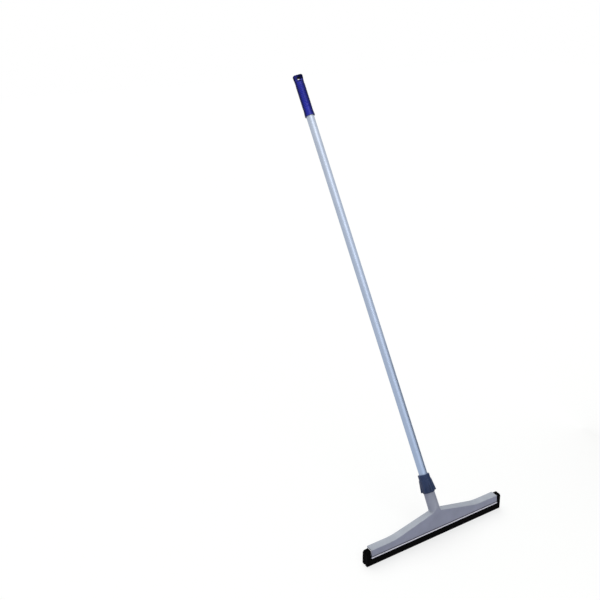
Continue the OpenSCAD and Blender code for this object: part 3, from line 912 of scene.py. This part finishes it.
def grip_painted_shade(tree, place, colour, sheen):
    """The grip's colour and sheen, with painted shade at its edges, and towards its top end and right."""
    up_here = add(tree, "VectorMath", {0: place, 1: UP_HANDLE}, operation="DOT_PRODUCT").outputs["Value"]
    start = UP_HANDLE.dot(CROSSING) + (GRIP_TOP - HEAD_SHADE_DROP) * MM
    high = spread(tree, up_here, 1.0, 0.0, start, start + HEAD_SHADE_RAMP * MM)
    x = add(tree, "SeparateXYZ", {"Vector": place}).outputs["X"]
    side = spread(tree, x, SIDE_SHADE_LEFT, SIDE_SHADE_RIGHT, SIDE_SHADE_FROM * MM, 0.0)
    facing = add(tree, "LayerWeight", {"Blend": 0.5}).outputs["Facing"]
    skim_shade = spread(tree, facing, 1.0, SKIM_LEFT, 0.0, SKIM_FROM)
    unshaded = maths(tree, "MULTIPLY", maths(tree, "MAXIMUM", high, side), skim_shade)
    return blend(tree, unshaded, linear("#03052A"), colour), maths(tree, "MULTIPLY", unshaded, sheen)


nut.data.materials.append(moulded("nylon_navy_moulded", "#2F4064", "#263553", 0.42, 0.25))
polished = moulded("polypropylene_blue_polished", "#3039D0", "#252FBE", 0.26, 0.35, 3, grip_painted_shade)
grip.data.materials.append(polished)
print("nut and grip finished")

# %% [markdown]
# The tube is aluminium, drawn through a die and anodised. Drawing leaves fine straight lines along it, and
# anodising makes them a soft satin: bright, slightly blue, and without mirror reflections. The lines are
# noise stretched along the handle, 0.3 mm apart in truth and 2.5 mm here, so that they show. A ramp up the
# handle paints a blue reflection and shade on the lower end, which comes out darker and bluer. A metal keeps
# the default IOR.

# %% Anodised aluminium, drawn
LINE_MM, LINE_STRETCH, BATH_MM = 2.5, 0.004, 60
material, tree, place = finish("aluminium_drawn_anodised")
drawn = add(tree, "Mapping", {"Vector": place, "Scale": (1, 1, LINE_STRETCH)}).outputs["Vector"]
lines = noise(tree, drawn, LINE_MM, 4.0, 0.6)
both = maths(tree, "ADD", lines, noise(tree, place, BATH_MM, 2.0))
tint = ramp(tree, maths(tree, "MULTIPLY", both, 0.5), 0.3, "#ABB4C3", 0.7, "#B8C1D0")
# Painted reflection and shade: the tube's lower end is tinted darker and bluer.
along = add(tree, "SeparateXYZ", {"Vector": place}).outputs["Z"]
up_here = spread(tree, along, 0.0, 1.0, NUT_TOP * MM, GRIP_LOW * MM)
painted_blue_reflection = blend(tree, up_here, linear("#E5F0FF"), linear("#FFFFFF"))
close(tree, add(tree, "BsdfPrincipled", {
    "Base Color": blend(tree, 1.0, tint, painted_blue_reflection, "MULTIPLY"), "Metallic": 1.0,
    "Roughness": spread(tree, lines, 0.42, 0.54),
    "Normal": bumps(tree, lines, 0.15, 0.05),
}))
tube.data.materials.append(material)
print("tube finished")

# %% [markdown]
# The cassette is rigid white PVC, extruded. A die leaves faint lines along the length, here along x, and a
# clean satin gloss with an IOR of 1.54. The lines are drawn 0.8 mm apart. Painted shade fills the gap under
# the head: what lies behind the lip's edge, inside the head's ends and above the sole of the lip is painted
# dark grey. Three comparisons of the place with those limits say where.

# %% White PVC, extruded
DIE_LINE_MM, DIE_STRETCH, GAP_SHADE_RISE = 0.8, 0.01, 1
material, tree, place = finish("pvc_white_extruded")
drawn = add(tree, "Mapping", {"Vector": place, "Scale": (DIE_STRETCH, 1, 1)}).outputs["Vector"]
lines = noise(tree, drawn, DIE_LINE_MM, 3.0)
tint = ramp(tree, lines, 0.3, "#F0F0F2", 0.7, "#FAFAFC")
at = add(tree, "SeparateXYZ", {"Vector": place}).outputs
# Painted shade: behind the lip's edge, inside the head's ends and above the lip's sole, the white is painted
# dark grey.
painted_gap_shade = maths(tree, "GREATER_THAN", at["Z"], (LIP_LOW + GAP_SHADE_RISE) * MM)
for value, limit in ((at["Y"], LIP_HALF - LIP_EDGE), (at["X"], HEAD_END)):
    within = maths(tree, "LESS_THAN", maths(tree, "ABSOLUTE", value), limit * MM)
    painted_gap_shade = maths(tree, "MULTIPLY", painted_gap_shade, within)
close(tree, add(tree, "BsdfPrincipled", {
    "Base Color": blend(tree, painted_gap_shade, tint, linear("#1E1E24")),
    "Roughness": spread(tree, lines, 0.28, 0.42),
    "Normal": bumps(tree, lines, 0.1, 0.05), "IOR": 1.54,
}))
cassette.data.materials.append(material)
print("cassette finished")

# %% [markdown]
# The blades are moss rubber, foamed and cut into strips. Small open cells pit its matt black skin, and painted
# shade makes the pits a little darker than their rims. Cells are a Voronoi pattern, 0.6 mm in truth and drawn
# 3 mm wide, so that they show.

# %% Moss rubber, cut
CELL_MM, FUZZ_MM = 3, 0.9
material, tree, place = finish("moss_rubber_black_cut")
cells = add(tree, "TexVoronoi", {"Vector": place, "Scale": per(CELL_MM), "Randomness": 1.0})
fuzz = noise(tree, place, FUZZ_MM, 3.0)
# Painted shade: where the cells are low, in the pits, the black is darker than on their rims.
depth = maths(tree, "MULTIPLY", cells.outputs["Distance"], fuzz)
close(tree, add(tree, "BsdfPrincipled", {
    "Base Color": ramp(tree, depth, 0.05, "#010101", 0.5, "#080809"),
    "Roughness": spread(tree, fuzz, 0.82, 0.96),
    "Normal": bumps(tree, depth, 0.5, 0.3), "IOR": 1.5, "Specular IOR Level": 0.04,
}))
for blade in blades:
    blade.data.materials.append(material)
print("blades finished")

# %% [markdown]
# Three pieces stay out of sight until the squeegee is taken apart: the spline between the blades, the split
# clamp ring and the tube's plug. Their solids are right as they are, so they only get a finish: uncoloured
# nylon, slightly yellow and milky, and plain black polyethylene.

# %% Hidden pieces
natural = moulded("nylon_natural_moulded", "#DEDDD2", "#D3D2C4", 0.45)
plain_black = moulded("polyethylene_black_moulded", "#2A2A2E", "#222226", 0.55)
for node, material in (("blade_spline", natural), ("clamp_ring", natural), ("tube_plug", plain_black)):
    solid = frame["nodes"][node]
    solid.data.materials.clear()
    solid.data.materials.append(material)
print("hidden pieces finished")

# %% [markdown]
# The stage is a wide white floor. To the camera, and to surfaces that mirror it, the floor and the world are
# plain white, and a share of the floor's own shading stays, so that the squeegee keeps its shadow. For soft
# light the floor counts as grey, about as bright as the world, so that the front face and the leaning neck
# are lit alike.

# %% Floor
FLOOR_HALF = 12
SHADOW_SHARE = 0.3


def plate(name, corners):
    """A single face over four corners, in metres."""
    mesh = bpy.data.meshes.new(name)
    mesh.from_pydata(corners, [], [(0, 1, 2, 3)])
    made = bpy.data.objects.new(name, mesh)
    scene.collection.objects.link(made)
    return made


def seen(tree):
    """1 for rays from the camera or through and off shiny surfaces, and 0 for those that carry soft light."""
    path = add(tree, "LightPath").outputs
    mirrored = maths(tree, "MAXIMUM", path["Is Glossy Ray"], path["Is Transmission Ray"])
    return maths(tree, "MAXIMUM", path["Is Camera Ray"], mirrored)


corners = ((-1, -1), (1, -1), (1, 1), (-1, 1))
floor = plate("floor", [(x * FLOOR_HALF, y * FLOOR_HALF, 0) for x, y in corners])
material, tree, place = finish("white_floor_matt")
seen_here = seen(tree)
paint = blend(tree, seen_here, linear("#BFBBDC"), linear("#FFFFFF"))
matt = add(tree, "BsdfDiffuse", {"Color": paint})
white = add(tree, "Emission", {"Color": linear("#FFFFFF"), "Strength": 1.0})
share = maths(tree, "MULTIPLY", seen_here, 1 - SHADOW_SHARE)
close(tree, add(tree, "MixShader", {0: share, 1: matt.outputs[0], 2: white.outputs[0]}))
floor.data.materials.append(material)
print("floor", 2 * FLOOR_HALF, "m wide")

# %% [markdown]
# A dark grey card stands on the right, as photographers use to draw an edge. The camera doesn't see it and it
# throws no shadow: it only gives the shiny pieces a darker right edge, most of all low on the tube.

# %% Card on the right
CARD_X, CARD_FRONT, CARD_REAR, CARD_TOP = 0.75, -0.6, 0.15, 0.7
FIBRE_MM = 20
corners = ((CARD_FRONT, 0), (CARD_REAR, 0), (CARD_REAR, CARD_TOP), (CARD_FRONT, CARD_TOP))
card = plate("card", [(CARD_X, y, z) for y, z in corners])
card.visible_camera = False
card.visible_shadow = False
material, tree, place = finish("grey_card_matt")
fibre = noise(tree, place, FIBRE_MM, 2.0)
close(tree, add(tree, "BsdfDiffuse", {"Color": ramp(tree, fibre, 0.0, "#303236", 1.0, "#3A3C42")}))
card.data.materials.append(material)
print("card", CARD_TOP, "m high")

# %% [markdown]
# The world lights everything softly from all sides, like a white tent. Its light is weaker than the white
# that the camera sees, because two lamps add to it.

# %% World
FILL_STRENGTH = 0.345
world = bpy.data.worlds.new("studio")
world.use_nodes = True
tree = world.node_tree
tree.nodes.clear()
fill = add(tree, "Background", {"Color": linear("#FAFDFF"), "Strength": FILL_STRENGTH})
plain = add(tree, "Background", {"Color": linear("#FFFFFF"), "Strength": 1.0})
mix = add(tree, "MixShader", {0: seen(tree), 1: fill.outputs[0], 2: plain.outputs[0]})
add(tree, "OutputWorld", {"Surface": mix.outputs[0]})
scene.world = world
print("world at", FILL_STRENGTH)

# %% [markdown]
# Two sun lamps do the rest. The strong one is very wide, like a bright ceiling, and stands above and behind:
# it makes the roof lighter than the face and the neck. The weak one comes from the front, so the tube and the
# grip's rings get a soft bright line a little right of their middle, which fades down the handle.

# %% Lamps
SUN_AWAY = 3


def sun(name, towards, width_deg, strength, colour):
    """A lamp as wide as an angle in the sky, which shines from a direction."""
    data = bpy.data.lights.new(name, "SUN")
    data.angle, data.energy, data.color = math.radians(width_deg), strength, linear(colour)[:3]
    made = bpy.data.objects.new(name, data)
    made.rotation_mode = "QUATERNION"
    made.rotation_quaternion = Vector(towards).to_track_quat("Z", "Y")
    made.location = Vector(towards) * SUN_AWAY
    scene.collection.objects.link(made)
    return made


sun("ceiling", (0.05, 0.42, 0.9), 60, 1.78, "#FEFFF9")
sun("front", (-0.12, -0.6, 0.79), 40, 0.7, "#FFFFFF")
print("lamps:", len(bpy.data.lights))
